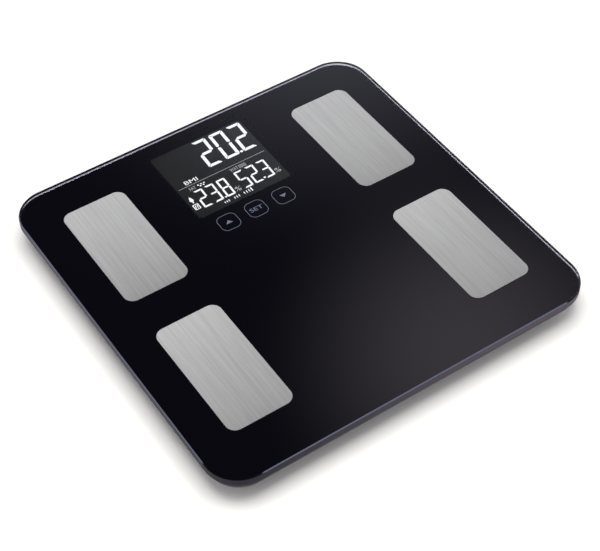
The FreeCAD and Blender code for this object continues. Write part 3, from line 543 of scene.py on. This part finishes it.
show = Drawing()
faint = Drawing()
lean = 0.045
big_y, big_h = 103.3, 29.9
for ch, x in (("2", -5.2), ("0", 9.9), ("2", 25.3)):
    digit(show, ch, x, big_y, 12.0, big_h, 2.6, lean)
dot(show, 23.0, big_y + 1.3, 1.15)
show.text("BMI", -24.8, 99.1, 3.8, 10.8, 0.0)
line(faint, -37.3, 37.3, 95.5, 0.34)
faint.text("FAT", -27.7, 91.7, 3.3, 5.2, 0.0)
faint.text("WAT", 8.2, 91.7, 3.3, 6.8, 0.0)
small_y, small_h = 69.6, 18.9
for ch, x in (("2", -30.1), ("3", -20.8), ("8", -10.7), ("5", 4.7), ("2", 14.1), ("3", 23.8)):
    digit(show, ch, x, small_y, 7.4, small_h, 1.6, lean)
dot(show, -12.0, small_y + 1.0, 0.75)
dot(show, 22.3, small_y + 1.9, 0.9)
for x in (-0.2, 34.5):
    show.text("%", x, small_y + 3.1, 4.5, 4.8, -0.018, 0.25)
# little square marks after the two words
for x, y in ((-22.7, 92.5), (-20.1, 92.5), (-17.6, 92.5), (-21.4, 90.9), (-18.8, 90.9)):
    line(show, x - 0.6, x + 0.6, y, 1.2)
for x in (12.9, 14.5, 16.1, 17.7):
    faint.band([(x - 0.55, 90.0), (x + 0.55, 90.0), (x + 0.55, 93.4), (x - 0.55, 93.4)],
               [(x - 0.25, 90.3), (x + 0.25, 90.3), (x + 0.25, 93.1), (x - 0.25, 93.1)])
# simple figure: a pointed head on a thin neck, over a small square with two slanted cuts
fx, fy = -34.8, 82.3
show.poly([(fx, fy + 3.3), (fx - 0.9, fy + 1.4), (fx - 1.6, fy - 0.6), (fx - 1.3, fy - 1.8),
           (fx - 0.5, fy - 2.3), (fx - 0.5, fy - 4.0), (fx + 0.5, fy - 4.0), (fx + 0.5, fy - 2.3),
           (fx + 1.3, fy - 1.8), (fx + 1.6, fy - 0.6), (fx + 0.9, fy + 1.4)])
square = rounded(2.4, 2.9, 0.8, -34.9, 74.0, 4)
show.band(square, rounded(1.7, 2.2, 0.5, -34.9, 74.0, 4))
for x in (-35.7, -34.1):
    show.poly([(x - 0.75, 72.4), (x - 0.05, 72.4), (x + 0.75, 75.7), (x + 0.05, 75.7)])
# bottom row: three groups of small marks, the last one a tall bar
for start, step, count, tall in ((-15.5, 1.75, 3, 1.9), (-7.1, 1.95, 3, 2.3), (1.3, 2.1, 3, 2.7)):
    for i in range(count):
        x = start + step * i
        high = tall + 0.2 * i
        low = 64.9
        show.poly([(x - 0.12, low), (x + 0.12, low), (x + 0.4, low + high * 0.6), (x + 0.32, low + high),
                   (x - 0.32, low + high), (x - 0.4, low + high * 0.6)])
line(show, 7.2, 8.1, 66.8, 3.9)

lcd_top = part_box("display_front_glass")[1].z
lit = glowing("display_figures", (0.98, 0.99, 1.0), 1.1, (0.1, 0.1, 0.1))
dim = glowing("display_faint_figures", (0.98, 0.99, 1.0), 0.5, (0.08, 0.08, 0.08))
show.make("display_figures", lcd_top + 0.02 * MM, lit)
faint.make("display_faint_figures", lcd_top + 0.02 * MM, dim)

# ---------------------------------------------------------------- floor, world and lights
floor_mesh = bpy.data.meshes.new("floor")
floor_mesh.from_pydata([(-6, -6, 0), (6, -6, 0), (6, 6, 0), (-6, 6, 0)], [], [(0, 1, 2, 3)])
floor = bpy.data.objects.new("floor", floor_mesh)
scene.collection.objects.link(floor)
fm = Mat("floor", (0.9, 0.885, 0.84), 0.9)
fm.color(fm.mix(fm.noise(0.4, 2), (0.893, 0.878, 0.834), (0.907, 0.892, 0.847)))
floor_mesh.materials.append(fm.mat)

world = bpy.data.worlds.new("studio")
scene.world = world
world.use_nodes = True
wt = world.node_tree
bg = wt.nodes["Background"]
tc = wt.nodes.new("ShaderNodeTexCoord")
DOME = (0.82, 0.82, 0.86)
FLAG = (0.066, 0.07, 0.105)


def aimed(azimuth, elevation):
    a, e = math.radians(azimuth), math.radians(elevation)
    return (math.cos(a) * math.cos(e), math.sin(a) * math.cos(e), math.sin(e))


def facing(direction):
    """Cosine of the angle between the looked-at direction and this one."""
    n = wt.nodes.new("ShaderNodeVectorMath")
    n.operation = "DOT_PRODUCT"
    wt.links.new(tc.outputs["Generated"], n.inputs[0])
    n.inputs[1].default_value = Vector(direction).normalized()
    return n.outputs["Value"]


def spread(value, from_min, from_max, to_min=0.0, to_max=1.0, smooth=False):
    """Value mapped between two ranges and held at their ends."""
    n = wt.nodes.new("ShaderNodeMapRange")
    if smooth:
        n.interpolation_type = "SMOOTHSTEP"
    n.inputs["From Min"].default_value = from_min
    n.inputs["From Max"].default_value = from_max
    n.inputs["To Min"].default_value = to_min
    n.inputs["To Max"].default_value = to_max
    wt.links.new(value, n.inputs["Value"])
    return n.outputs["Result"]


def scaled(color, factor):
    n = wt.nodes.new("ShaderNodeVectorMath")
    n.operation = "SCALE"
    if isinstance(color, tuple):
        n.inputs[0].default_value = color
    else:
        wt.links.new(color, n.inputs[0])
    wt.links.new(factor, n.inputs["Scale"])
    return n.outputs["Vector"]


def card(direction, spread_deg, color):
    """A soft bright patch of the studio around a direction, fading to nothing at spread_deg."""
    fade = spread(facing(direction), math.cos(math.radians(spread_deg)), 1.0)
    cube = wt.nodes.new("ShaderNodeMath")
    cube.operation = "POWER"
    cube.inputs[1].default_value = 3.0
    wt.links.new(fade, cube.inputs[0])
    return scaled(color, cube.outputs[0])


# a pale dome with a wide dark flag in it, which the glass mirrors towards the camera
base = wt.nodes.new("ShaderNodeMix")
base.data_type = "VECTOR"
base.inputs[4].default_value = DOME
base.inputs[5].default_value = FLAG
wt.links.new(spread(facing(aimed(57, 48)), math.cos(math.radians(31)), math.cos(math.radians(18)),
                    smooth=True), base.inputs["Factor"])
# a little darker towards the near side, which deepens the shadow on the floor there
total = scaled(base.outputs[1], spread(facing((-0.545, -0.838, 0.0)), 0.0, 0.6, 1.0, 0.85))
# the walls of the studio are darker than its ceiling and than the cove along the floor
height = wt.nodes.new("ShaderNodeSeparateXYZ")
wt.links.new(tc.outputs["Generated"], height.inputs[0])
walls = spread(height.outputs["Z"], math.sin(math.radians(16)), math.sin(math.radians(36)), 0.5, 1.0)
cove = spread(height.outputs["Z"], math.sin(math.radians(7)), math.sin(math.radians(13)), 1.15, 0.0)
level = wt.nodes.new("ShaderNodeMath")
level.operation = "MAXIMUM"
wt.links.new(walls, level.inputs[0])
wt.links.new(cove, level.inputs[1])
total = scaled(total, level.outputs[0])
for extra in (card(aimed(47.2, 51), 9, (0.86, 0.88, 0.84)),
              card(aimed(56, 35), 14, (1.05, 1.15, 1.25))):
    s = wt.nodes.new("ShaderNodeVectorMath")
    s.operation = "ADD"
    wt.links.new(total, s.inputs[0])
    wt.links.new(extra, s.inputs[1])
    total = s.outputs["Vector"]
wt.links.new(total, bg.inputs["Color"])
bg.inputs["Strength"].default_value = 1.0


def softbox(name, at, target, size, power, color=(1, 1, 1)):
    data = bpy.data.lights.new(name, "AREA")
    data.shape = "RECTANGLE"
    data.size, data.size_y = size
    data.energy = power
    data.color = color
    obj = bpy.data.objects.new(name, data)
    scene.collection.objects.link(obj)
    obj.location = at
    obj.rotation_euler = (Vector(target) - Vector(at)).to_track_quat("-Z", "Y").to_euler()
    return obj


softbox("overhead", (0.0, 0.0, 2.6), (0, 0, 0), (1.65, 1.65), 53)
